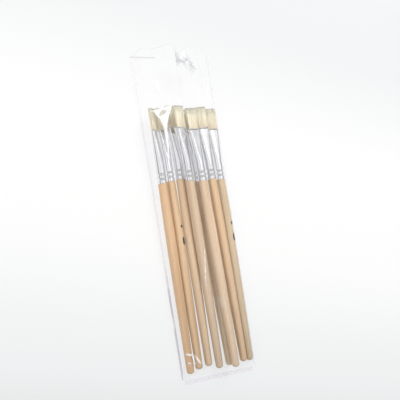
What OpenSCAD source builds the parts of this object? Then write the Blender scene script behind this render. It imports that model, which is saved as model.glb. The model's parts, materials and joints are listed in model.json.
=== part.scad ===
// A set of flat brushes lying in an open clear film bag.
// Millimetres. X runs across the bag, Y from its foot to its mouth, Z up from the surface it lies on.
// The origin is under the middle of the bag.

/* [Handle] */
// Length of wood that shows, from the butt to the ferrule
handle_l = 140; // [110:1:180]
// Diameter at the butt, behind its rounded end
butt_d = 5.4; // [3.6:0.1:5.6]
// Length of the rounded butt end
butt_round = 2; // [1:0.1:3]
// Largest diameter of the handle
belly_d = 7.5; // [6:0.1:8]
// Distance from the butt to the largest diameter
belly_at = 105; // [80:1:108]
// Length of the tenon that goes into the ferrule
tenon_l = 11; // [8:0.5:11.5]
// Bevel at the end of the tenon
tenon_bevel = 0.8; // [0.3:0.1:1.2]

/* [Ferrule] */
// Length of the ferrule
ferrule_l = 41.5; // [30:0.5:46]
// Outer diameter of its round end, where it meets the wood
ferrule_d = 7; // [5.5:0.1:7.5]
// Thickness of its metal
ferrule_wall = 0.3; // [0.2:0.05:0.4]
// Length of the end that stays round
round_l = 12; // [12:0.5:16]
// Outer thickness of its flattened mouth
mouth_t = 3; // [2.4:0.1:4]
// Distance of the first crimp ring from the wood end
crimp_1_at = 3.5; // [2:0.1:4.5]
// Distance of the second crimp ring from the wood end
crimp_2_at = 7; // [6:0.1:9]
// Half the width of a crimp ring
crimp_w = 1; // [0.5:0.1:1.2]
// Depth of a crimp ring
crimp_depth = 0.35; // [0.1:0.05:0.5]

/* [Bristles] */
// Length of bristle that shows past the ferrule
bristle_out = 17; // [10:0.5:20]
// Length of bristle root inside the ferrule
root_l = 9; // [5:0.5:12]
// How much wider and thicker the tips stand than the ferrule's inside
splay = 0.7; // [0:0.1:0.8]

/* [Fits] */
// Clearance between pieces inside a ferrule
inner_fit = 0.03; // [0.01:0.01:0.1]
// Clearance between a brush on its way out and the film
film_gap = 0.4; // [0.3:0.05:1]

/* [Bag] */
// Length of the bag, foot to mouth
bag_l = 252; // [235:1:300]
// Thickness of the film
film_t = 0.2; // [0.1:0.05:0.3]
// Distance from the foot of the bag to the butts
butt_from_foot = 6.5; // [6:0.5:12]
// Length of the seal across the foot
foot_seal_l = 4; // [2:0.5:5]
// Clear width inside the bag at its mouth
inner_w = 62; // [62:0.5:80]
// How far the left side is drawn in at the foot, where the film wraps the slimmer handle ends
left_draw_in = 5; // [0:0.5:5]
// How far the right side is drawn in at the foot
right_draw_in = 1.5; // [0:0.5:1.5]
// Width of each side weld
weld_w = 1.5; // [1:0.5:6]
// Height of the weld beads
weld_h = 0.3; // [0.2:0.05:0.5]
// Space between the welds and the film that rises beside them
weld_gap = 0.4; // [0.3:0.1:1]
// Space between the front film and the corner that is folded over it
fold_gap = 0.3; // [0.2:0.05:0.6]
// Distance of the folded corner from the mouth
fold_from_mouth = 3; // [2:0.5:8]

/* [Hidden] */
// Where each brush lies: x and z of its axis at the butt, x and z at the tuft, roll about its axis
// in degrees, and how far it has slipped up the bag.
LAY = [
    [-22.4, 3.8, -25.5, 9.8, -46, 0.8],
    [-15.4, 4.1, -16.8, 4.1, -20, 2.8],
    [-7.2, 3.1, -9.9, 8.2, -12, 3.5],
    [0.2, 5.3, -6.7, 16.9, -17, 0.8],
    [9.4, 3.5, 4.6, 4.7, -18, 1],
    [10.7, 11.1, 5.3, 12.6, -8, 0],
    [20.9, 4.4, 15.2, 9.1, 7, 1.8],
    [26.6, 3.4, 25, 5.1, 5, 1.5]
];
count = len(LAY);
// The length of bag over which a brush's line goes from its butt's place to its tuft's.
lay_span = 185;
foot_y = -bag_l / 2;
mouth_y = bag_l / 2;
butt_y = foot_y + butt_from_foot;
butt_r = butt_d / 2;
belly_r = belly_d / 2;
ferrule_r = ferrule_d / 2;
bore_r = ferrule_r - ferrule_wall;
// The mouth keeps the round end's girth: two flats and two half rounds.
mouth_flat = PI * (ferrule_d - mouth_t) / 2;
flat_l = ferrule_l - round_l;
root_z = ferrule_l - root_l;
ring_n = 32;
handle_rings = 24;
// Higher than anything in the bag.
above_all = 60;
// Wide enough to span a brush on its way out.
out_r = max(belly_r, ferrule_r);
tuft_r = mouth_t / 2 + splay / 4;
weld_out = film_gap + film_t + weld_gap;
// The folded corner's outline, from the middle of the mouth.
FOLD = [[-7, -3], [-3, 0], [2, 1], [6, 0], [9, -3], [16, -13], [14, -18], [11, -18], [1, -14], [-6, -9]];
// How far the many-sided flattened part stands past the true round end at their seam.
seam = 0.03;
// How far a cut runs past what it cuts.
through = 1;

function names(piece) = [for (i = [1:count]) str("brush_", i, "_", piece)];
BAG_NODES = ["back_film", "front_film", "left_weld", "right_weld", "foot_seal", "folded_corner"];

// ---- placing a brush ----

function rise(i) = [LAY[i][2] - LAY[i][0], lay_span, LAY[i][3] - LAY[i][1]];
function yaw(i) = -atan2(rise(i)[0], lay_span);
function pitch(i) = atan2(rise(i)[2], norm([rise(i)[0], lay_span]));
function roll(i) = LAY[i][4];

// Stands a brush, drawn along +Z from its butt, on its line in the bag.
module on_line(i) {
    translate([LAY[i][0], butt_y + LAY[i][5], LAY[i][1]])
        rotate([pitch(i), 0, yaw(i)])
            rotate([-90, 0, 0])
                children();
}

module in_bag(i) {
    on_line(i)
        rotate([0, 0, -roll(i)])
            children();
}

// ---- handle and ferrule outlines ----

function crimp(z, at) = abs(z - at) < crimp_w ? (1 + cos(180 * (z - at) / crimp_w)) / 2 : 0;
function crimped_r(z, r) = r - crimp_depth * (crimp(z, crimp_1_at) + crimp(z, crimp_2_at));
function ring_heights(at) = [for (k = [-2:2]) at + k * crimp_w / 2];
round_heights = concat(ring_heights(crimp_1_at), ring_heights(crimp_2_at));

function swell(z) = butt_r + (belly_r - butt_r) * sin(90 * z / belly_at);
function ease(z) = (1 + cos(180 * (z - belly_at) / (handle_l - belly_at))) / 2;
function shaft_r(z) = z < belly_at ? swell(z) : ferrule_r + (belly_r - ferrule_r) * ease(z);
function butt_point(a) = [swell(butt_round) * sin(a), butt_round * (1 - cos(a))];

module handle() {
    tenon_r = bore_r - inner_fit;
    tenon_end = handle_l + tenon_l;
    step = (handle_l - butt_round) / handle_rings;
    dome = [for (a = [0:15:90]) butt_point(a)];
    shaft = [for (k = [1:handle_rings]) let (z = butt_round + k * step) [shaft_r(z), z]];
    shoulder = [[tenon_r, handle_l]];
    grip = [for (z = round_heights) [crimped_r(z, tenon_r), handle_l + z]];
    tip = [[tenon_r, tenon_end - tenon_bevel], [tenon_r - tenon_bevel, tenon_end], [0, tenon_end]];
    color("burlywood")
        rotate_extrude($fn = 48)
            polygon(concat(dome, shaft, shoulder, grip, tip));
}

// One ring of points round the flattened part: part runs from 0 at the round end to 1 at the mouth,
// and inset moves the ring inwards.
function flat_ring(z, part, inset) = [
    for (k = [0:ring_n - 1])
        let (a = 360 * (k + 0.5) / ring_n, r = (1 - part) * ferrule_r + part * mouth_t / 2 - inset)
            [r * cos(a) + sign(cos(a)) * part * mouth_flat / 2, r * sin(a), z]
];

function wide_ring(z, flat, r) = [
    for (k = [0:ring_n - 1])
        let (a = 360 * (k + 0.5) / ring_n)
            [r * cos(a) + sign(cos(a)) * flat / 2, r * sin(a), z]
];

function band(k) = [for (j = [0:ring_n - 1]) let (n = (j + 1) % ring_n)
    [k * ring_n + j, (k + 1) * ring_n + j, (k + 1) * ring_n + n, k * ring_n + n]];

// A closed solid through a stack of rings.
module loft(rings) {
    last = len(rings) - 1;
    sides = [for (k = [0:last - 1]) each band(k)];
    foot = [for (j = [0:ring_n - 1]) j];
    head = [for (j = [ring_n - 1:-1:0]) last * ring_n + j];
    polyhedron([for (ring = rings) each ring], concat(sides, [foot, head]));
}

module ferrule() {
    inset = ferrule_wall + seam / 3;
    outer = [for (z = round_heights) [crimped_r(z, ferrule_r), z]];
    inner = [for (z = round_heights) [crimped_r(z, bore_r), z]];
    backward = [for (k = [len(inner) - 1:-1:0]) inner[k]];
    wall = concat([[bore_r, 0], [ferrule_r, 0]], outer, [[ferrule_r, round_l], [bore_r, round_l]], backward);
    color("silver") {
        rotate_extrude($fn = 64)
            polygon(wall);
        difference() {
            loft([flat_ring(round_l, 0, -seam), flat_ring(ferrule_l, 1, 0)]);
            loft([
                flat_ring(round_l - through, 0, inset),
                flat_ring(round_l, 0, inset),
                flat_ring(ferrule_l, 1, ferrule_wall),
                flat_ring(ferrule_l + through, 1, ferrule_wall)
            ]);
        }
    }
}

module tuft() {
    inset = ferrule_wall + inner_fit;
    tip_r = mouth_t / 2 - ferrule_wall + splay / 2;
    color("wheat")
        loft([
            flat_ring(root_z, (root_z - round_l) / flat_l, inset),
            flat_ring(ferrule_l, 1, inset),
            wide_ring(ferrule_l + bristle_out, mouth_flat + splay / 4, tip_r)
        ]);
}

module resin_plug() {
    inset = ferrule_wall + inner_fit;
    color("goldenrod")
        loft([
            flat_ring(tenon_l + inner_fit, 0, inset),
            flat_ring(round_l, 0, inset),
            flat_ring(root_z - inner_fit, (root_z - inner_fit - round_l) / flat_l, inset)
        ]);
}

// ---- bag ----

// The two sides of the clear width, y up the bag.
function left_x(y) = -inner_w / 2 + left_draw_in * (mouth_y - y) / bag_l;
function right_x(y) = inner_w / 2 - right_draw_in * (mouth_y - y) / bag_l;

// The flat outline from side to side, grown sideways by out.
module across_bag(from_y, to_y, out) {
    polygon([
        [left_x(from_y) - out, from_y],
        [left_x(to_y) - out, to_y],
        [right_x(to_y) + out, to_y],
        [right_x(from_y) + out, from_y]
    ]);
}

// The space inside the film: round every brush, and along its whole way out, grown by a clearance.
module inside_bag(grow) {
    reach = bag_l;
    hull() {
        for (i = [0:count - 1]) {
            on_line(i)
                cylinder(h = reach, r = out_r + grow, $fn = 32);
            in_bag(i)
                for (side = [-1, 1])
                    translate([side * mouth_flat / 2, 0, 0])
                        cylinder(h = reach, r = tuft_r + grow, $fn = 32);
        }
        linear_extrude(film_t + grow)
            across_bag(foot_y + foot_seal_l - grow, mouth_y + through, grow);
    }
}

module film_layer(from, to) {
    difference() {
        inside_bag(film_gap + to);
        inside_bag(film_gap + from);
    }
}

module above_back_film() {
    translate([-bag_l, foot_y, film_t])
        cube([2 * bag_l, bag_l, above_all]);
}

module front_film() {
    color([0.9, 0.95, 1, 0.3])
        intersection() {
            film_layer(0, film_t);
            above_back_film();
        }
}

module back_film() {
    color([0.85, 0.9, 0.95, 0.3])
        linear_extrude(film_t)
            across_bag(foot_y, mouth_y, weld_out + weld_w);
}

// A strip beside the film, x_in being its edge nearest the brushes at the foot and at the mouth.
module weld(x_in, w) {
    from_y = foot_y + foot_seal_l;
    color([0.7, 0.7, 0.75, 0.5])
        translate([0, 0, film_t])
            linear_extrude(weld_h)
                polygon([
                    [x_in[0], from_y],
                    [x_in[0] + w, from_y],
                    [x_in[1] + w, mouth_y],
                    [x_in[1], mouth_y]
                ]);
}

module left_weld() {
    weld([left_x(foot_y + foot_seal_l) - weld_out, left_x(mouth_y) - weld_out], -weld_w);
}

module right_weld() {
    weld([right_x(foot_y + foot_seal_l) + weld_out, right_x(mouth_y) + weld_out], weld_w);
}

module foot_seal() {
    color([0.7, 0.7, 0.75, 0.5])
        translate([0, 0, film_t])
            linear_extrude(weld_h)
                across_bag(foot_y, foot_y + foot_seal_l - weld_out, 0);
}

// The corner of the front film that has folded back on itself at the mouth.
module folded_corner() {
    color([0.75, 0.75, 0.78, 0.6])
        intersection() {
            film_layer(film_t + fold_gap, 2 * film_t + fold_gap);
            translate([0, mouth_y - fold_from_mouth, film_t])
                linear_extrude(above_all)
                    polygon(FOLD);
        }
}

for (i = [0:count - 1]) {
    in_bag(i) handle();
    in_bag(i) translate([0, 0, handle_l]) ferrule();
    in_bag(i) translate([0, 0, handle_l]) tuft();
    in_bag(i) translate([0, 0, handle_l]) resin_plug();
}
back_film();
front_film();
left_weld();
right_weld();
foot_seal();
folded_corner();
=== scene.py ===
"""A set of flat brushes in an open clear film bag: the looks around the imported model."""
import bisect
import json
import math
import random

import bpy
from mathutils import Matrix, Vector, noise


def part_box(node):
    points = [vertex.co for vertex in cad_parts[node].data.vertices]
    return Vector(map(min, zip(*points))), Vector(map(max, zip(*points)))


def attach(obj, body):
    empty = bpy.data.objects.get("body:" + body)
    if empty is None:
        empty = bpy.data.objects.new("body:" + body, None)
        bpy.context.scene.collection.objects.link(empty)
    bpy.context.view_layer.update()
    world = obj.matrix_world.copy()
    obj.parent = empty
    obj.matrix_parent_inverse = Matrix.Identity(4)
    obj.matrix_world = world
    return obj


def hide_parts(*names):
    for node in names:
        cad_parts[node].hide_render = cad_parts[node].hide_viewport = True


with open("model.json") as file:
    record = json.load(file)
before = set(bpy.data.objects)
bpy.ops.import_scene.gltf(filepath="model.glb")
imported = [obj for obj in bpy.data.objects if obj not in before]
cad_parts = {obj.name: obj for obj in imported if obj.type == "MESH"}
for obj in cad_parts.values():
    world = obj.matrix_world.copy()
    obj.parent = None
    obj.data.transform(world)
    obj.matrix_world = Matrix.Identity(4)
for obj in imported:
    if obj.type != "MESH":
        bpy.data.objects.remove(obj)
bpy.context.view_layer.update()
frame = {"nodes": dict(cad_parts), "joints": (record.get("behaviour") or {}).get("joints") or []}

MM = 0.001
COUNT = 8


# ---- the brushes' own frames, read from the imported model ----

def node_points(node):
    return [v.co.copy() for v in frame["nodes"][node].data.vertices]


class Brush:
    """One brush: its origin is the tip of its butt, z runs along it and x across its flat mouth."""

    def __init__(self, number):
        self.number = number
        self.body = f"brush_{number}"
        joint = next(j for j in frame["joints"] if j["child"] == self.body)
        self.along = Vector(joint["axis"]).normalized()
        handle = node_points(f"{self.body}_handle")
        self.butt = min(handle, key=lambda p: p.dot(self.along))
        ferrule = [self.split(p) for p in node_points(f"{self.body}_ferrule")]
        self.wood_l = min(t for t, _ in ferrule)
        self.mouth = max(t for t, _ in ferrule)
        rim = [side for t, side in ferrule if t > self.mouth - 0.01 * MM]
        self.mouth_half_w = max(side.length for side in rim)
        self.mouth_half_t = min(side.length for side in rim if side.length > 0.4 * self.mouth_half_w)
        across = max(rim, key=lambda side: side.length).normalized()
        self.across = across if across.x > 0 else -across
        self.through = self.along.cross(self.across)
        collar = [side.length for t, side in ferrule if t < self.wood_l + 0.01 * MM]
        self.ferrule_r = max(collar)
        self.bore_r = min(collar)
        rim_t = [abs(side.dot(self.through)) for side in rim]
        self.mouth_half_t = max(rim_t)
        tuft = [self.split(p) for p in node_points(f"{self.body}_tuft")]
        self.tip = max(t for t, _ in tuft)
        top = [side for t, side in tuft if t > self.tip - 0.01 * MM]
        self.tip_half_w = max(abs(side.dot(self.across)) for side in top)
        self.tip_half_t = max(abs(side.dot(self.through)) for side in top)
        self.profile = sorted((t, side.length) for t, side in (self.split(p) for p in handle) if t < self.wood_l)
        self.belly_r = max(r for _, r in self.profile)
        self.belly_at = max(self.profile, key=lambda row: row[1])[0]

    def split(self, point):
        """How far along the brush a point is, and its offset from the axis."""
        away = point - self.butt
        t = away.dot(self.along)
        return t, away - t * self.along

    def at(self, x, y, z):
        return self.butt + x * self.across + y * self.through + z * self.along

    def axis_at(self, y):
        """The point of the axis, drawn out as far as needed, at that distance up the bag."""
        return self.butt + self.along * ((y - self.butt.y) / self.along.y)

    def radius(self, z):
        """The handle's radius."""
        before = max((row for row in self.profile if row[0] <= z), default=self.profile[0])
        after = min((row for row in self.profile if row[0] > z), default=self.profile[-1])
        if after[0] <= before[0]:
            return before[1]
        share = (z - before[0]) / (after[0] - before[0])
        return before[1] + (after[1] - before[1]) * share

    def rotation(self):
        return Matrix((self.across, self.through, self.along)).transposed()


brushes = [Brush(i + 1) for i in range(COUNT)]


# ---- meshes ----

def mesh_object(name, points, faces, smooth=True):
    mesh = bpy.data.meshes.new(name)
    mesh.from_pydata([tuple(p) for p in points], [], faces)
    mesh.validate()
    if smooth:
        mesh.shade_smooth()
    obj = bpy.data.objects.new(name, mesh)
    bpy.context.scene.collection.objects.link(obj)
    return obj


def point_values(obj, name, values):
    layer = obj.data.attributes.new(name, "FLOAT", "POINT")
    layer.data.foreach_set("value", values)


def ring_faces(rings, n):
    """Quads between rings of n points each."""
    return [
        (k * n + j, k * n + (j + 1) % n, (k + 1) * n + (j + 1) % n, (k + 1) * n + j)
        for k in range(rings - 1)
        for j in range(n)
    ]


def grid_faces(rows, columns):
    return [
        (r * columns + c, r * columns + c + 1, (r + 1) * columns + c + 1, (r + 1) * columns + c)
        for r in range(rows - 1)
        for c in range(columns - 1)
    ]


# ---- materials ----

class Shade:
    """A node material with one Principled shader, and short calls for the nodes it needs."""

    def __init__(self, name, roughness=0.5, metallic=0.0):
        self.material = bpy.data.materials.new(name)
        self.material.use_nodes = True
        self.tree = self.material.node_tree
        self.shader = self.tree.nodes["Principled BSDF"]
        self.output = self.tree.nodes["Material Output"]
        self.set("Roughness", roughness)
        self.set("Metallic", metallic)

    def set(self, socket, value):
        self.shader.inputs[socket].default_value = value

    def node(self, kind, **settings):
        node = self.tree.nodes.new(kind)
        for key, value in settings.items():
            setattr(node, key, value)
        return node

    def link(self, out, into):
        self.tree.links.new(out, into)
        return into

    def place(self, location=(0, 0, 0), rotation=(0, 0, 0), size=(MM, MM, MM)):
        """Coordinates in units of size, in a frame of their own."""
        source = self.node("ShaderNodeTexCoord")
        mapping = self.node("ShaderNodeMapping", vector_type="TEXTURE")
        mapping.inputs["Location"].default_value = location
        mapping.inputs["Rotation"].default_value = rotation
        mapping.inputs["Scale"].default_value = size
        self.link(source.outputs["Object"], mapping.inputs["Vector"])
        return mapping.outputs["Vector"]

    def noise(self, vector, scale, detail=3.0, roughness=0.5, distortion=0.0):
        node = self.node("ShaderNodeTexNoise")
        node.inputs["Scale"].default_value = scale
        node.inputs["Detail"].default_value = detail
        node.inputs["Roughness"].default_value = roughness
        node.inputs["Distortion"].default_value = distortion
        self.link(vector, node.inputs["Vector"])
        return node.outputs["Fac"]

    def ramp(self, value, stops):
        node = self.node("ShaderNodeValToRGB")
        elements = node.color_ramp.elements
        while len(elements) < len(stops):
            elements.new(0.5)
        for element, (position, colour) in zip(elements, stops):
            element.position = position
            element.color = (*colour, 1) if len(colour) == 3 else colour
        self.link(value, node.inputs["Fac"])
        return node.outputs["Color"]

    def level(self, value, low, high, to_low=0.0, to_high=1.0):
        node = self.node("ShaderNodeMapRange")
        node.inputs["From Min"].default_value = low
        node.inputs["From Max"].default_value = high
        node.inputs["To Min"].default_value = to_low
        node.inputs["To Max"].default_value = to_high
        self.link(value, node.inputs["Value"])
        return node.outputs["Result"]

    def math(self, operation, a, b):
        node = self.node("ShaderNodeMath", operation=operation)
        for socket, value in zip(node.inputs, (a, b)):
            if isinstance(value, (int, float)):
                socket.default_value = value
            else:
                self.link(value, socket)
        return node.outputs["Value"]

    def mix(self, share, a, b, blend="MIX"):
        node = self.node("ShaderNodeMix", data_type="RGBA", blend_type=blend)
        for socket, value in zip((node.inputs[0], node.inputs[6], node.inputs[7]), (share, a, b)):
            if isinstance(value, (int, float)):
                socket.default_value = value
            elif isinstance(value, tuple):
                socket.default_value = (*value, 1)
            else:
                self.link(value, socket)
        return node.outputs[2]

    def attribute(self, name):
        return self.node("ShaderNodeAttribute", attribute_name=name).outputs["Fac"]

    def bump(self, height, strength, distance):
        node = self.node("ShaderNodeBump")
        node.inputs["Strength"].default_value = strength
        node.inputs["Distance"].default_value = distance
        self.link(height, node.inputs["Height"])
        self.link(node.outputs["Normal"], self.shader.inputs["Normal"])

    def colour(self, out):
        self.link(out, self.shader.inputs["Base Color"])


def wear(obj, shade):
    """Gives an object that material."""
    obj.data.materials.clear()
    obj.data.materials.append(shade.material)


# Each handle's light wood, its grain and its deeper patches, as linear colours.
WOOD_TONES = [
    ((0.68, 0.45, 0.26), (0.56, 0.33, 0.16), (0.72, 0.53, 0.35)),
    ((0.69, 0.48, 0.28), (0.56, 0.35, 0.18), (0.74, 0.59, 0.39)),
    ((0.68, 0.49, 0.31), (0.56, 0.37, 0.23), (0.73, 0.58, 0.41)),
    ((0.63, 0.47, 0.32), (0.53, 0.36, 0.22), (0.69, 0.57, 0.42)),
    ((0.67, 0.50, 0.33), (0.56, 0.38, 0.23), (0.72, 0.60, 0.43)),
    ((0.71, 0.53, 0.36), (0.60, 0.41, 0.26), (0.76, 0.64, 0.47)),
    ((0.70, 0.48, 0.29), (0.58, 0.37, 0.19), (0.76, 0.58, 0.38)),
    ((0.61, 0.47, 0.31), (0.51, 0.37, 0.22), (0.66, 0.57, 0.41)),
]


def wood(brush):
    """Pale straight-grained wood under a thin clear lacquer, its grain along that brush."""
    body, deep, pale = WOOD_TONES[brush.number - 1]
    shade = Shade(f"wood_{brush.number}", roughness=0.42)
    turn = brush.rotation().to_euler()
    start = brush.at(3 * brush.number * MM, 0, 0)
    grain = shade.place(start, turn, (MM, MM, 26 * MM))
    patches = shade.noise(grain, 0.22, detail=2, distortion=0.4)
    fibres = shade.noise(grain, 3.2, detail=4, roughness=0.6)
    tone = shade.ramp(patches, [(0.30, deep), (0.48, body), (0.62, body), (0.78, pale)])
    streaked = shade.mix(shade.level(fibres, 0.42, 0.72, 0, 0.55), tone, deep)
    pores = shade.place(start, turn, (0.16 * MM, 0.16 * MM, 2.4 * MM))
    dashes = shade.level(shade.noise(pores, 1.0, detail=1), 0.70, 0.80)
    dark = tuple(0.45 * c for c in deep)
    lines = shade.noise(shade.place(start, turn, (0.7 * MM, 0.7 * MM, 60 * MM)), 1.0, detail=2)
    lined = shade.mix(shade.level(lines, 0.52, 0.66, 0, 0.4), streaked, pale)
    speckled = shade.mix(shade.math("MULTIPLY", dashes, 0.5), lined, dark)
    # Painted shade: the wood is darkened toward the butt, standing in for the lamps' falloff there.
    along = shade.node("ShaderNodeSeparateXYZ")
    shade.link(shade.place(brush.butt, turn), along.inputs[0])
    painted_falloff_shade = shade.level(along.outputs["Z"], 0, 100, 0.22, 0)
    shade.colour(shade.mix(painted_falloff_shade, speckled, (0, 0, 0)))
    shade.bump(fibres, 0.25, 0.05 * MM)
    shade.set("Coat Weight", 0.6)
    shade.set("Coat Roughness", 0.16)
    shade.set("Coat IOR", 1.5)
    return shade


def bright_metal():
    """Thin bright-plated metal with faint draw lines and a few soft dents."""
    shade = Shade("bright_plate", roughness=0.13, metallic=1.0)
    drawn = shade.place(size=(0.9 * MM, 30 * MM, 0.9 * MM))
    lines = shade.noise(drawn, 1.0, detail=2)
    spots = shade.noise(shade.place(size=(MM, 5 * MM, MM)), 0.4, detail=2)
    shade.colour(shade.ramp(lines, [(0.3, (0.80, 0.80, 0.83)), (0.7, (0.94, 0.94, 0.95))]))
    shade.link(shade.level(spots, 0.35, 0.75, 0.07, 0.18), shade.shader.inputs["Roughness"])
    shade.bump(shade.math("ADD", lines, spots), 0.08, 0.03 * MM)
    return shade


def bristle_hair():
    """Pale natural bristle: warmer towards the ferrule, bleached at the tips, each hair its own shade."""
    shade = Shade("pale_bristle", roughness=0.5)
    rise = shade.attribute("rise")
    hair = shade.attribute("hair")
    length = shade.ramp(rise, [
        (0.0, (0.76, 0.64, 0.46)),
        (0.25, (0.83, 0.74, 0.56)),
        (0.7, (0.88, 0.83, 0.66)),
        (1.0, (0.96, 0.94, 0.84)),
    ])
    varied = shade.mix(shade.level(hair, 0, 1, 0, 0.55), length, (0.92, 0.88, 0.73))
    dull = shade.mix(shade.level(hair, 0.0, 0.15, 0.35, 0), varied, (0.55, 0.40, 0.22))
    shade.colour(dull)
    flecks = shade.noise(shade.place(size=(0.12 * MM, 0.8 * MM, 0.12 * MM)), 1.0, detail=2)
    shade.bump(flecks, 0.2, 0.03 * MM)
    shade.link(shade.level(rise, 0.9, 1.0, 1.0, 0.3), shade.shader.inputs["Alpha"])
    shade.set("Sheen Weight", 0.25)
    shade.set("Sheen Roughness", 0.4)
    return shade


def amber_resin():
    shade = Shade("amber_resin", roughness=0.22)
    clouds = shade.noise(shade.place(), 0.6, detail=4)
    shade.colour(shade.ramp(clouds, [(0.3, (0.42, 0.20, 0.05)), (0.7, (0.62, 0.36, 0.12))]))
    shade.set("Coat Weight", 0.3)
    shade.bump(clouds, 0.2, 0.1 * MM)
    return shade


def print_ink():
    shade = Shade("print_ink", roughness=0.45)
    worn = shade.noise(shade.place(size=(0.2 * MM, 0.4 * MM, 0.2 * MM)), 1.0, detail=3)
    shade.colour(shade.ramp(worn, [(0.35, (0.012, 0.010, 0.009)), (0.75, (0.07, 0.05, 0.04))]))
    return shade


def clear_film(name, tint, grey, clear, haze_glint_cover, rough, grey_cover=0.55):
    """Thin clear film: see-through and glossy, whitened and made opaque where the mesh marks creases and painted
    highlights and glints, and grey where it marks cut or doubled film, a painted shade and dark reflection."""
    shade = Shade(name, roughness=rough)
    haze_and_glint = shade.attribute("haze_and_glint")
    edge = shade.attribute("edge")
    crumple = shade.noise(shade.place(), 0.32, detail=4, roughness=0.55)
    # The grey is painted shade and dark reflection; the white cover paints highlights and glints as well as the
    # creases' own whitening.
    shade.colour(shade.mix(edge, tint, grey))
    cover = shade.level(haze_and_glint, 0, 1, clear, haze_glint_cover)
    soft = shade.level(crumple, 0.3, 0.8, 0.75, 1.25)
    rim = shade.math("MULTIPLY", edge, grey_cover)
    alpha = shade.math("MAXIMUM", shade.math("MULTIPLY", cover, soft), rim)
    shade.link(alpha, shade.shader.inputs["Alpha"])
    shade.bump(crumple, 0.35, 0.25 * MM)
    shade.set("IOR", 1.49)
    shade.set("Coat Weight", 0.0)
    return shade


# ---- brushes ----

CRIMPS = (3.5 * MM, 7 * MM)
CRIMP_HALF_W = 1 * MM
CRIMP_DEPTH = 0.35 * MM
ROUND_L = 12 * MM
AROUND = 48


def stadium(angle, half_flat, r):
    """A point of a long round-ended outline."""
    c, s = math.cos(angle), math.sin(angle)
    return r * c + math.copysign(half_flat, c), r * s


def pressed(share):
    """How far the ferrule is pressed flat: 0 at the round end, 1 at the mouth, with a soft start."""
    soft = 0.2
    rise = share * share / (2 * soft) if share < soft else share - soft / 2
    return rise / (1 - soft / 2)


def ferrule_section(brush, z, inset, seed):
    """The ring of points round the ferrule, z along from its wood end."""
    length = brush.mouth - brush.wood_l
    part = pressed(max(0.0, (z - ROUND_L) / (length - ROUND_L)))
    half_flat = part * (brush.mouth_half_w - brush.mouth_half_t)
    r = (1 - part) * brush.ferrule_r + part * brush.mouth_half_t - inset
    for crimp in CRIMPS:
        off = abs(z - crimp)
        if off < CRIMP_HALF_W:
            r -= CRIMP_DEPTH * (1 + math.cos(math.pi * off / CRIMP_HALF_W)) / 2
    ring = []
    for j in range(AROUND):
        x, y = stadium(2 * math.pi * (j + 0.5) / AROUND, half_flat, r)
        dent = noise.noise(Vector((x, y, 0.35 * z)) / (2.2 * MM) + Vector((seed, 0, 0)))
        scale = 1 - 0.006 * (1 + dent)
        ring.append(brush.at(x * scale, y * scale, brush.wood_l + z))
    return ring


def build_ferrule(brush, metal):
    length = brush.mouth - brush.wood_l
    wall = brush.ferrule_r - brush.bore_r
    steps = [0, 0.12 * MM]
    z = 0.6 * MM
    while z < ROUND_L:
        steps.append(z)
        z += 0.25 * MM if z < 9 * MM else 1 * MM
    flats = 20
    steps += [ROUND_L + (length - ROUND_L) * k / flats for k in range(flats + 1)]
    depth = 5 * MM
    insets = [0.12 * MM] + [0.0] * (len(steps) - 1)
    outside = list(zip(steps, insets))
    lip = [(length, 0.08 * MM), (length, wall - 0.08 * MM)]
    inside = [(length - depth * k / 4, wall) for k in range(5)]
    rows = outside + lip + inside
    points = [p for z, inset in rows for p in ferrule_section(brush, z, inset, 7.3 * brush.number)]
    ferrule = mesh_object(f"{brush.body}_bright_ferrule", points, ring_faces(len(rows), AROUND))
    wear(ferrule, metal)
    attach(ferrule, brush.body)
    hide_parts(f"{brush.body}_ferrule")


HAIRS = 640
HAIR_R = 0.14 * MM
HAIR_RINGS = 6
HAIR_SIDES = 3


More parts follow.
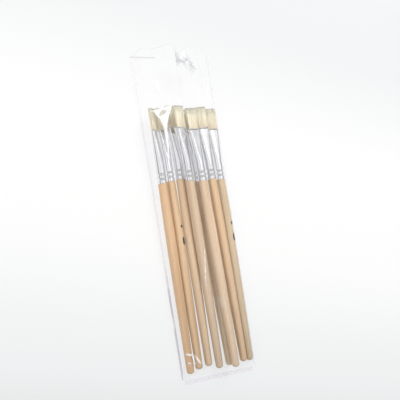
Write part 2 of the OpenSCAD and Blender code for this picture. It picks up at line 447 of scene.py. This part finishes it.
def build_tuft(brush, material):
    """Hundreds of separate hairs, packed as the ferrule's mouth packs them, round a dense middle."""
    draw = random.Random(100 + brush.number)
    wall = brush.ferrule_r - brush.bore_r
    half_flat = brush.mouth_half_w - brush.mouth_half_t
    root_r = brush.mouth_half_t - wall - HAIR_R
    tip_flat = brush.tip_half_w - brush.tip_half_t
    tip_r = brush.tip_half_t - HAIR_R
    out = brush.tip - brush.mouth
    rooted = 2 * MM
    points, faces, rise, hair = [], [], [], []

    def tube(spine, radii, lifts, value, sides):
        first = len(points)
        for (x, y, z), r, lift in zip(spine, radii, lifts):
            for s in range(sides):
                angle = 2 * math.pi * s / sides + value * 6
                points.append(brush.at(x + r * math.cos(angle), y + r * math.sin(angle), z))
                rise.append(lift)
                hair.append(value)
        for face in ring_faces(len(spine), sides):
            faces.append(tuple(first + v for v in face))
        last = first + (len(spine) - 1) * sides
        faces.append(tuple(range(last, last + sides)))

    for _ in range(HAIRS):
        # A place in the section: across is -1..1, through is -1..1, denser at the outside.
        u = draw.uniform(-1, 1)
        v = math.copysign(abs(draw.uniform(-1, 1)) ** 0.6, draw.uniform(-1, 1))
        side = u * (half_flat + root_r)
        over = max(0.0, abs(side) - half_flat)
        thick = math.sqrt(max(0.0, root_r ** 2 - over ** 2))
        base = (side, v * thick)
        side_tip = u * (tip_flat + tip_r)
        over_tip = max(0.0, abs(side_tip) - tip_flat)
        thick_tip = math.sqrt(max(0.0, tip_r ** 2 - over_tip ** 2))
        wander = 0.12 * MM
        tip = (side_tip + draw.gauss(0, wander), v * thick_tip + draw.gauss(0, wander))
        reach = out * (1 - abs(draw.gauss(0, 0.022))) - 0.5 * MM * abs(u) ** 6
        bow = draw.uniform(-0.18, 0.18) * MM
        value = draw.random()
        spine, radii, lifts = [], [], []
        for k in range(HAIR_RINGS):
            share = k / (HAIR_RINGS - 1)
            z = brush.mouth - rooted + (reach + rooted) * share
            lift = max(0.0, (z - brush.mouth) / out)
            spread = lift ** 1.4
            x = base[0] + (tip[0] - base[0]) * spread + bow * math.sin(math.pi * lift)
            y = base[1] + (tip[1] - base[1]) * spread
            spine.append((x, y, z))
            radii.append(HAIR_R * (1 - 0.45 * lift))
            lifts.append(lift)
        tube(spine, radii, lifts, value, HAIR_SIDES)
    # The dense middle, which keeps light from passing through.
    sides = 24
    first = len(points)
    levels = 5
    for k in range(levels):
        share = k / (levels - 1)
        lift = 0.93 * share
        z = brush.mouth - rooted * (1 - share) + out * lift
        flat = half_flat + (tip_flat - half_flat) * lift
        r = (root_r + (tip_r - root_r) * lift) * (0.9 if k < levels - 1 else 0.7)
        for s in range(sides):
            x, y = stadium(2 * math.pi * (s + 0.5) / sides, flat * 0.98, r)
            points.append(brush.at(x, y, z))
            rise.append(min(0.84, lift))
            hair.append(0.7)
    for face in ring_faces(levels, sides):
        faces.append(tuple(first + v for v in face))
    last = first + (levels - 1) * sides
    faces.append(tuple(range(last, last + sides)))
    tuft = mesh_object(f"{brush.body}_bristles", points, faces)
    point_values(tuft, "rise", rise)
    point_values(tuft, "hair", hair)
    wear(tuft, material)
    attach(tuft, brush.body)
    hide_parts(f"{brush.body}_tuft")


def build_mark(brush, name, z_from, z_to, turn, half_angle, ink):
    """A small printed mark that lies on the handle: turn is the angle from across towards through."""
    rows, columns = 10, 8
    middle = (z_from + z_to) / 2
    half_l = (z_to - z_from) / 2
    points = []
    for i in range(rows + 1):
        lift = -1 + 2 * i / rows
        narrow = math.sqrt(max(0.0, 1 - lift ** 4))
        for j in range(columns + 1):
            angle = turn + half_angle * narrow * (-1 + 2 * j / columns)
            z = middle + half_l * lift
            r = brush.radius(z) + 0.03 * MM
            points.append(brush.at(r * math.cos(angle), r * math.sin(angle), z))
    mark = mesh_object(f"{brush.body}_{name}", points, grid_faces(rows + 1, columns + 1))
    wear(mark, ink)
    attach(mark, brush.body)


metal = bright_metal()
bristle = bristle_hair()
resin = amber_resin()
ink = print_ink()
for brush in brushes:
    wear(frame["nodes"][f"{brush.body}_handle"], wood(brush))
    wear(frame["nodes"][f"{brush.body}_resin_plug"], resin)
    build_ferrule(brush, metal)
    build_tuft(brush, bristle)

# Two handles show a little of their print: a dot and a bar.
for number, turn in ((2, -70), (8, -46)):
    brush = brushes[number - 1]
    angle = math.radians(turn)
    build_mark(brush, "print_dot", 104 * MM, 106.2 * MM, angle, 0.36, ink)
    build_mark(brush, "print_bar", 91 * MM, 97 * MM, angle, 0.36, ink)


# ---- the bag ----

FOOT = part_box("back_film")[0].y
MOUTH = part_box("back_film")[1].y
BAG_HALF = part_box("back_film")[1].x
FILM_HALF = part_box("front_film")[1].x
FLOOR_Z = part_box("front_film")[0].z
BUTT_Y = min(brush.butt.y for brush in brushes)
BACK_CORNERS = [p for p in node_points("back_film") if p.y < FOOT + 0.01 * MM]
LEFT_IN = min(p.x for p in BACK_CORNERS) + BAG_HALF
RIGHT_IN = BAG_HALF - max(p.x for p in BACK_CORNERS)
SEAL_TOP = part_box("foot_seal")[1].y
CLEAR = 0.35 * MM


def circles(y):
    """The round sections that the film has to clear at y, brushes on their way out included."""
    rows = []
    for brush in brushes:
        centre = brush.axis_at(y)
        t = (y - brush.butt.y) / brush.along.y
        if t < 0:
            continue
        r = brush.radius(t) if t < brush.belly_at else brush.belly_r
        rows.append((centre.x, centre.z, r))
        if t > brush.wood_l:
            half = brush.tip_half_w - brush.tip_half_t
            for side in (-half, half):
                rows.append((centre.x + side * brush.across.x, centre.z + side * brush.across.z, brush.tip_half_t))
    return rows


def drawn_in(x, y):
    """Where a place across the bag at its mouth lies at y, as the sides are drawn in toward the foot."""
    share = (MOUTH - y) / (MOUTH - FOOT)
    part = x / BAG_HALF
    return x + share * ((LEFT_IN * -part if x < 0 else -RIGHT_IN * part))


def touch(x, rows):
    """The lowest height at which a film clears those sections."""
    top = 0.0
    for cx, cz, r in rows:
        grown = r + CLEAR
        if abs(x - cx) < grown:
            top = max(top, cz + math.sqrt(grown ** 2 - (x - cx) ** 2))
    return top


def taut(xs, heights):
    """The lowest tight line over those heights, from end to end."""
    kept = []
    for p in zip(xs, heights):
        while len(kept) > 1:
            (ax, az), (bx, bz) = kept[-2], kept[-1]
            if (bx - ax) * (p[1] - az) - (bz - az) * (p[0] - ax) >= 0:
                kept.pop()
            else:
                break
        kept.append(p)
    line = []
    k = 0
    for x in xs:
        while k < len(kept) - 2 and kept[k + 1][0] < x:
            k += 1
        (ax, az), (bx, bz) = kept[k], kept[k + 1]
        line.append(az + (bz - az) * (x - ax) / (bx - ax))
    return line


def crease(x, y, start, end, half_w):
    """1 on the line from start to end, falling straight to 0 at half_w to either side."""
    (ax, ay), (bx, by) = start, end
    length2 = (bx - ax) ** 2 + (by - ay) ** 2
    t = max(0.0, min(1.0, ((x - ax) * (bx - ax) + (y - ay) * (by - ay)) / length2))
    away = math.hypot(x - ax - t * (bx - ax), y - ay - t * (by - ay))
    return max(0.0, 1 - away / half_w) * math.sin(math.pi * min(1, max(0, 0.08 + 0.84 * t)))


# Folds pressed into the film: from, to (mm), half width, height, and how white: the creases' own whitening and
# painted highlights and glints.
CREASES = [
    ((-30, 70), (-14, 124), 3.5, 0.9, 0.0),
    ((-22, 92), (2, 118), 2.5, 0.7, 0.0),
    ((-8, 84), (8, 122), 3.0, 0.8, 0.0),
    ((6, 88), (26, 104), 2.6, 0.8, 0.0),
    ((12, 100), (30, 122), 3.0, 1.0, 0.0),
    ((-28, 96), (-20, 120), 2.0, 0.6, 0.0),
    ((18, 70), (29, 94), 2.4, 0.7, 0.0),
    ((-16, 30), (-15, 84), 1.6, 0.5, 0.0),
    ((3, 20), (1, 74), 1.6, 0.4, 0.0),
    ((19, 10), (18, 80), 1.8, 0.4, 0.0),
    # The gathered foot, with painted white highlight strokes.
    ((-25.3, -104.2), (-20.4, -105.5), 0.85, 0.5, 0.95),
    ((-20.9, -104.8), (-18.6, -112.4), 0.75, 0.5, 0.95),
    ((-19, -105.8), (-15.2, -112.8), 0.75, 0.5, 0.95),
    ((-24.6, -110.2), (-22.8, -111.4), 0.7, 0.4, 0.9),
    # Glints between two handles and on another.
    ((-1.8, -29.2), (-4.5, -58.9), 0.45, 0.4, 0.95),
    ((5.1, -66.7), (6.7, -76.6), 1.4, 0.3, 0.22),
    ((2, -119), (10, -108), 1.2, 0.4, 0.0),
    ((16, -119), (22, -104), 1.4, 0.5, 0.0),
    # Painted highlights on the open head.
    ((27, 113), (26, 106), 0.8, 0.4, 0.5),
    ((19.3, 103), (18, 91), 1.3, 0.5, 0.5),
    ((-20.9, 99), (-20, 90), 1.5, 0.5, 0.45),
    # Where it clings to the ferrules, with painted pale patches for the film's refraction.
    ((-9, 61), (-5, 56), 1.0, 0.3, 0.35),
    ((-5, 57), (-8, 50), 0.9, 0.3, 0.35),
    ((11, 59), (14, 55), 0.9, 0.3, 0.35),
    ((14, 56), (12, 50), 0.9, 0.3, 0.35),
]


def film_columns(n):
    """Places across the film, closer together towards its sides."""
    return [FILM_HALF * math.sin(math.pi / 2 * (-1 + 2 * j / (n - 1))) for j in range(n)]


def film_rows(n):
    first, last = SEAL_TOP + 0.6 * MM, MOUTH
    foot = [first + (BUTT_Y + 6 * MM - first) * k / 10 for k in range(10)]
    rest = [BUTT_Y + 6 * MM + (last - BUTT_Y - 6 * MM) * k / (n - 1) for k in range(n)]
    return foot + rest


def front_heights(y, columns):
    """The film's height at those places, given as they are at the mouth."""
    xs = [drawn_in(x, y) for x in columns]
    rows = circles(max(y, BUTT_Y + 0.5 * MM))
    low = FLOOR_Z + 0.3 * MM
    heights = [max(low, touch(x, rows)) for x in xs]
    heights[0] = heights[-1] = low
    tight = taut(xs, heights)
    fade = min(1.0, max(0.0, (y - SEAL_TOP) / (BUTT_Y + 1.5 * MM - SEAL_TOP)))
    fade = fade * fade * (3 - 2 * fade)
    result = []
    for column, x, near, far in zip(columns, xs, heights, tight):
        slack = 0.72 + 0.28 * noise.noise(Vector((x / (7 * MM), y / (26 * MM), 3.1)))
        z = near + (far - near) * min(1.0, max(0.35, slack))
        inner = 1 - (abs(column) / FILM_HALF) ** 8
        ripple = abs(noise.noise(Vector((x / (5 * MM), y / (17 * MM), 8.7))))
        z += inner * 0.5 * MM * ripple
        for start, end, half_w, height, _ in CREASES:
            z += inner * height * MM * crease(x / MM, y / MM, start, end, half_w)
        result.append(low + (z - low) * fade)
    return result


# A painted highlight: the white fan where the film is pinched over the left tufts and catches the light; its left
# and right bound at each y (mm).
PLEAT = [
    (80.0, -12.4, -11.5),
    (78.3, -19.6, -12.2),
    (76.6, -27.0, -12.9),
    (70, -22.4, -15.2),
    (63, -20.0, -17.2),
    (46, -19.4, -17.8),
    (30, -19.9, -19.2),
]


def pleat_painted_highlight(x, y):
    top, foot = PLEAT[0][0] * MM, PLEAT[-1][0] * MM
    if not foot < y < top:
        return 0.0
    for (y1, left1, right1), (y0, left0, right0) in zip(PLEAT, PLEAT[1:]):
        if y0 * MM <= y <= y1 * MM:
            share = (y / MM - y0) / (y1 - y0)
            left = (left0 + (left1 - left0) * share) * MM
            right = (right0 + (right1 - right0) * share) * MM
            soft = 0.5 * MM
            body = min(1.0, max(0.0, (x - left) / soft)) * min(1.0, max(0.0, (right - x) / soft))
            # A thin place near its top, where the bristles show through.
            off = math.hypot((x + 19.8 * MM) / (3.2 * MM), (y - 74.4 * MM - 0.3 * (x + 19.8 * MM)) / (1.9 * MM))
            ragged = 0.6 * noise.noise(Vector((x / (1.9 * MM), y / (1.5 * MM), 4.4)))
            thin = min(1.0, max(0.35, 0.35 + 1.6 * (off + ragged - 0.75)))
            return body * thin
    return 0.0


# The painted highlights of the fan and of the creases, with the creases' own whitening.
def haze_and_glint_at(x, y):
    value = pleat_painted_highlight(x, y)
    for start, end, half_w, _, haze_and_glint in CREASES:
        if haze_and_glint:
            value = max(value, haze_and_glint * min(1.0, 1.6 * crease(x / MM, y / MM, start, end, half_w)))
    return value


def build_front_film(film):
    xs = film_columns(150)
    ys = film_rows(260)
    points, haze_and_glint, edge = [], [], []
    for y in ys:
        for column, z in zip(xs, front_heights(y, xs)):
            x = drawn_in(column, y)
            points.append((x, y, z))
            # Painted highlights and glints, with the creases' own whitening, and a painted grey shade along the
            # cut mouth, stronger on the left, and faintly along the sides.
            haze_and_glint.append(haze_and_glint_at(x, y))
            lip = max(0.0, 1 - (MOUTH - y) / (0.9 * MM)) * (0.6 if x < 0 else 0.25)
            side = max(0.0, (abs(column) / FILM_HALF - 0.985) / 0.015)
            edge.append(min(1.0, lip + 0.15 * side))
    sheet = mesh_object("bag_front_sheet", points, grid_faces(len(ys), len(xs)))
    point_values(sheet, "haze_and_glint", haze_and_glint)
    point_values(sheet, "edge", edge)
    wear(sheet, film)
    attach(sheet, "bag")
    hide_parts("front_film")


def build_back_film(film, welds):
    columns, rows = 60, 150
    points, haze_and_glint, edge = [], [], []
    for i in range(rows):
        y = FOOT + (MOUTH - FOOT) * i / (rows - 1)
        for j in range(columns):
            x = drawn_in(BAG_HALF * (-1 + 2 * j / (columns - 1)), y)
            z = 0.1 * MM + 0.08 * MM * noise.noise(Vector((x / (9 * MM), y / (20 * MM), 1.7)))
            points.append((x, y, z))
            haze_and_glint.append(0.0)
            # Painted grey shade along the cut mouth, full on the left and faint on the right.
            lip = max(0.0, 1 - (MOUTH - y) / (1.2 * MM))
            edge.append(lip * (1.0 if x < -12 * MM else 0.25))
    sheet = mesh_object("bag_back_sheet", points, grid_faces(rows, columns))
    point_values(sheet, "haze_and_glint", haze_and_glint)
    point_values(sheet, "edge", edge)
    wear(sheet, film)
    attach(sheet, "bag")
    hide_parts("back_film")


def weld_strip(name, node, film, along_y):
    """A heat-sealed strip: two films melted together in a row of small ribs."""
    low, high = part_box(node)
    corners = node_points(node)
    foot = [p.x for p in corners if p.y < low.y + 0.01 * MM]
    head = [p.x for p in corners if p.y > high.y - 0.01 * MM]
    long_steps, short_steps = (300, 8) if along_y else (8, 220)
    points, haze_and_glint, edge = [], [], []
    for i in range(long_steps + 1):
        share = i / long_steps
        left = min(foot) + (min(head) - min(foot)) * share
        right = max(foot) + (max(head) - max(foot)) * share
        for j in range(short_steps + 1):
            x = left + (right - left) * j / short_steps
            y = low.y + (high.y - low.y) * share
            run = y if along_y else x
            rib = 0.5 + 0.5 * math.cos(2 * math.pi * run / (1.6 * MM))
            z = low.z + 0.06 * MM + (high.z - low.z) * 0.6 * rib
            points.append((x, y, z))
            glint = noise.noise(Vector((x / (2 * MM), y / (9 * MM), 6.1)))
            # Painted reflection: the seal's grey and white glints are strongest at the foot of the left side and
            # faint elsewhere.
            low_down = min(1.0, max(0.0, (-35 * MM - y) / (25 * MM)))
            painted_reflection = (0.12 + 0.88 * low_down) if node == "left_weld" else 0.12 + 0.25 * low_down
            haze_and_glint.append(painted_reflection * (0.3 + 0.3 * rib) + (0.9 * low_down if glint > 0.36 else 0.0))
            edge.append(painted_reflection * (0.7 + 0.3 * rib) if glint < 0.3 else 0.0)
    strip = mesh_object(name, points, grid_faces(long_steps + 1, short_steps + 1))
    point_values(strip, "haze_and_glint", haze_and_glint)
    point_values(strip, "edge", edge)
    wear(strip, film)
    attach(strip, "bag")
    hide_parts(node)
    return strip


# The folded corner's outline, in mm from the middle of the mouth; part.scad has the same.
FOLD = [(-7, -3), (-3, 0), (2, 1), (6, 0), (9, -3), (16, -13), (14, -18), (11, -18), (1, -14), (-6, -9)]
FOLD_FROM_MOUTH = 3

film_row_heights = {}


def film_height(x, y):
    """The front film's height at a point near the mouth."""
    xs = film_columns(90)
    row = math.floor(y / MM)
    height = 0.0
    for k, share in ((row, 1 - y / MM + row), (row + 1, y / MM - row)):
        if k not in film_row_heights:
            film_row_heights[k] = front_heights(min(k * MM, MOUTH), xs)
        line = film_row_heights[k]
        j = max(1, min(len(xs) - 1, bisect.bisect(xs, x)))
        part = (x - xs[j - 1]) / (xs[j] - xs[j - 1])
        height += share * (line[j - 1] + (line[j] - line[j - 1]) * part)
    return height


def build_folded_corner(film):
    """The corner of the front film that has folded back on itself and crumpled."""
    ring = [(x * MM, MOUTH + (y - FOLD_FROM_MOUTH) * MM) for x, y in FOLD]
    centre = (sum(p[0] for p in ring) / len(ring), sum(p[1] for p in ring) / len(ring))
    steps, parts = 12, 8
    rim = []
    for (ax, ay), (bx, by) in zip(ring, ring[1:] + ring[:1]):
        rim += [(ax + (bx - ax) * k / parts, ay + (by - ay) * k / parts) for k in range(parts)]
    n = len(rim)
    points, haze_and_glint, edge = [], [], []
    for i in range(1, steps + 1):
        share = i / steps
        for x1, y1 in rim:
            x = centre[0] + (x1 - centre[0]) * share
            y = centre[1] + (y1 - centre[1]) * share
            # Folds run down and to the right, as the corner was pulled.
            run, side = (x + y) / MM, (x - y) / MM
            fold = abs(noise.noise(Vector((side / 16, run / 5, 5.5))))
            small = noise.noise(Vector((x / (2.2 * MM), y / (2.2 * MM), 7.1)))
            points.append((x, y, film_height(x, y) + 0.7 * MM + 2.6 * MM * fold + 0.25 * MM * small))
            # Painted white glints along the folds, and elsewhere a painted grey for the dark surroundings
            # reflected in the doubled film.
            glint = noise.noise(Vector((side / 5, run / 2.5, 2.2)))
            grey = noise.noise(Vector((side / 7, run / 4, 9.4)))
            rim_fade = 1 - 0.7 * share ** 5
            haze_and_glint.append(min(1.0, 0.35 + 2.2 * max(0.0, glint - 0.1)) * rim_fade)
            edge.append(min(1.0, max(0.0, 0.75 + 0.7 * grey - 2.5 * max(0.0, glint - 0.1))) * rim_fade)
    faces = ring_faces(steps, n) + [tuple(range(n))]
    corner = mesh_object("bag_crumpled_corner", points, faces)
    point_values(corner, "haze_and_glint", haze_and_glint)
    point_values(corner, "edge", edge)
    wear(corner, film)
    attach(corner, "bag")
    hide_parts("folded_corner")


# The grey colour of each film is its painted shade and dark reflection, and the value after the see-through one is
# its cover where highlights and glints are painted.
clear = clear_film("clear_film", (0.97, 0.97, 0.98), (0.30, 0.30, 0.32), 0.03, 0.92, 0.08)
sealed = clear_film("sealed_film", (0.80, 0.76, 0.84), (0.46, 0.40, 0.52), 0.20, 0.85, 0.16, 0.8)
creased = clear_film("creased_film", (0.97, 0.97, 0.98), (0.46, 0.47, 0.49), 0.10, 0.85, 0.10)
build_back_film(clear, [
    weld_strip("bag_left_weld", "left_weld", sealed, True),
    weld_strip("bag_right_weld", "right_weld", sealed, True),
    weld_strip("bag_foot_seal", "foot_seal", sealed, False),
])
build_front_film(clear)
build_folded_corner(creased)


# ---- floor, light and camera ----

def studio_floor():
    """A white floor that shows at full brightness, with soft slanting grey bands of painted shade, and keeps the
    object's soft shadow.
    """
    shade = Shade("studio_floor", roughness=0.9)
    shade.set("Base Color", (0.85, 0.85, 0.85, 1))
    shade.set("Specular IOR Level", 0.0)
    path = shade.node("ShaderNodeLightPath")
    seen = shade.math("MAXIMUM", path.outputs["Is Camera Ray"], path.outputs["Is Glossy Ray"])
    seen = shade.math("MAXIMUM", seen, path.outputs["Is Transmission Ray"])
    seen = shade.math("MAXIMUM", seen, shade.math("MULTIPLY", path.outputs["Is Diffuse Ray"], 0.6))
    glow = shade.node("ShaderNodeEmission")
    down = shade.node("ShaderNodeSeparateXYZ")
    shade.link(shade.place(), down.inputs[0])
    # Painted shade: soft grey bands slanting across the floor, lighter in between.
    painted_floor_shade = [
        (0.09, (1.0, 1.0, 1.0)),
        (0.25, (0.72, 0.73, 0.73)),
        (0.29, (0.72, 0.73, 0.73)),
        (0.34, (0.83, 0.84, 0.85)),
        (0.385, (0.87, 0.89, 0.89)),
        (0.466, (0.98, 0.98, 0.98)),
        (0.585, (1.0, 1.0, 1.0)),
        (0.71, (0.86, 0.87, 0.88)),
        (0.80, (0.86, 0.87, 0.88)),
        (0.91, (1.0, 1.0, 1.0)),
    ]
    slanted = shade.math("ADD", down.outputs["Y"], shade.math("MULTIPLY", down.outputs["X"], 0.25))
    shade.link(shade.ramp(shade.level(slanted, -400, 400), painted_floor_shade), glow.inputs["Color"])
    glow.inputs["Strength"].default_value = 1.0
    mixer = shade.node("ShaderNodeMixShader")
    shade.link(shade.math("MULTIPLY", seen, 0.8), mixer.inputs[0])
    shade.link(shade.shader.outputs[0], mixer.inputs[1])
    shade.link(glow.outputs[0], mixer.inputs[2])
    shade.link(mixer.outputs[0], shade.output.inputs["Surface"])
    return shade


half = 1.5
floor = mesh_object(
    "studio_floor_sheet",
    [(-half, -half, -0.2 * MM), (half, -half, -0.2 * MM), (half, half, -0.2 * MM), (-half, half, -0.2 * MM)],
    [(0, 1, 2, 3)],
)
wear(floor, studio_floor())


def build_world():
    """White all round; what shiny pieces reflect also has soft grey bands, as a studio has."""
    world = bpy.data.worlds.new("studio")
    bpy.context.scene.world = world
    world.use_nodes = True
    tree = world.node_tree
    tree.nodes.clear()

    def link(a, b):
        tree.links.new(a, b)

    coordinates = tree.nodes.new("ShaderNodeTexCoord")
    split = tree.nodes.new("ShaderNodeSeparateXYZ")
    link(coordinates.outputs["Generated"], split.inputs[0])

    def banded(axis, stops):
        spread = tree.nodes.new("ShaderNodeMapRange")
        spread.inputs["From Min"].default_value = -1
        spread.inputs["From Max"].default_value = 1
        link(split.outputs[axis], spread.inputs["Value"])
        bands = tree.nodes.new("ShaderNodeValToRGB")
        elements = bands.color_ramp.elements
        while len(elements) < len(stops):
            elements.new(0.5)
        for element, (position, grey) in zip(elements, stops):
            element.position = position
            element.color = (grey, grey, grey, 1)
        link(spread.outputs["Result"], bands.inputs["Fac"])
        return bands.outputs["Color"]

    across = banded("X", [
        (0.0, 0.30), (0.05, 0.50), (0.12, 1.0), (0.26, 1.0), (0.30, 0.62), (0.36, 0.70),
        (0.42, 1.0), (0.70, 1.0), (0.78, 0.72), (0.86, 1.0), (0.93, 0.45), (1.0, 0.25),
    ])
    along = banded("Y", [
        (0.0, 0.95), (0.10, 0.30), (0.22, 0.36), (0.32, 1.0), (0.76, 1.0), (0.84, 0.34), (0.94, 0.30), (1.0, 0.9),
    ])
    both = tree.nodes.new("ShaderNodeMix")
    both.data_type = "RGBA"
    both.blend_type = "MULTIPLY"
    both.inputs[0].default_value = 1.0
    link(across, both.inputs[6])
    link(along, both.inputs[7])
    path = tree.nodes.new("ShaderNodeLightPath")
    ambient = tree.nodes.new("ShaderNodeBackground")
    ambient.inputs["Color"].default_value = (1.0, 0.99, 0.98, 1)
    ambient.inputs["Strength"].default_value = 0.66
    seen = tree.nodes.new("ShaderNodeBackground")
    seen.inputs["Color"].default_value = (1, 1, 1, 1)
    seen.inputs["Strength"].default_value = 1.0
    shiny = tree.nodes.new("ShaderNodeBackground")
    link(both.outputs[2], shiny.inputs["Color"])
    shiny.inputs["Strength"].default_value = 1.0
    first = tree.nodes.new("ShaderNodeMixShader")
    link(path.outputs["Is Glossy Ray"], first.inputs[0])
    link(ambient.outputs[0], first.inputs[1])
    link(shiny.outputs[0], first.inputs[2])
    second = tree.nodes.new("ShaderNodeMixShader")
    link(path.outputs["Is Camera Ray"], second.inputs[0])
    link(first.outputs[0], second.inputs[1])
    link(seen.outputs[0], second.inputs[2])
    output = tree.nodes.new("ShaderNodeOutputWorld")
    link(second.outputs[0], output.inputs["Surface"])


build_world()

TARGET = Vector((0.0073, 0.0082, 0.0))
CAMERA_AT = Vector((-0.1782, -0.0592, 0.4130))
CAMERA_UP = Vector((0.079, 0.978, 0.195))


def lamp(name, where, size, power, shows):
    """A soft lamp, turned to the brushes; one that shiny pieces reflect (shows) points straight down."""
    light = bpy.data.lights.new(name, "AREA")
    light.shape = "RECTANGLE"
    light.size, light.size_y = size
    light.energy = power
    obj = bpy.data.objects.new(name, light)
    obj.location = where
    obj.rotation_euler = (TARGET - Vector(where)).to_track_quat("-Z", "Y").to_euler()
    obj.visible_glossy = shows
    if shows:
        obj.rotation_euler = (0, 0, 0)
    bpy.context.scene.collection.objects.link(obj)


lamp("key", (0.35, 0.5, 0.7), (0.5, 0.5), 3.9, False)
lamp("fill", (-0.6, 0.1, 0.8), (0.9, 0.9), 3.8, False)
lamp("strip", (0.2, 0.33, 0.85), (0.025, 0.3), 0.15, True)

camera_data = bpy.data.cameras.new("camera")
camera_data.sensor_width = 36
camera_data.lens = 52.8
camera = bpy.data.objects.new("camera", camera_data)
look = (TARGET - CAMERA_AT).normalized()
right = look.cross(CAMERA_UP).normalized()
upward = right.cross(look)
camera.matrix_world = Matrix.Translation(CAMERA_AT) @ Matrix((right, upward, -look)).transposed().to_4x4()
bpy.context.scene.collection.objects.link(camera)
bpy.context.scene.camera = camera
bpy.context.scene.view_settings.view_transform = "Standard"
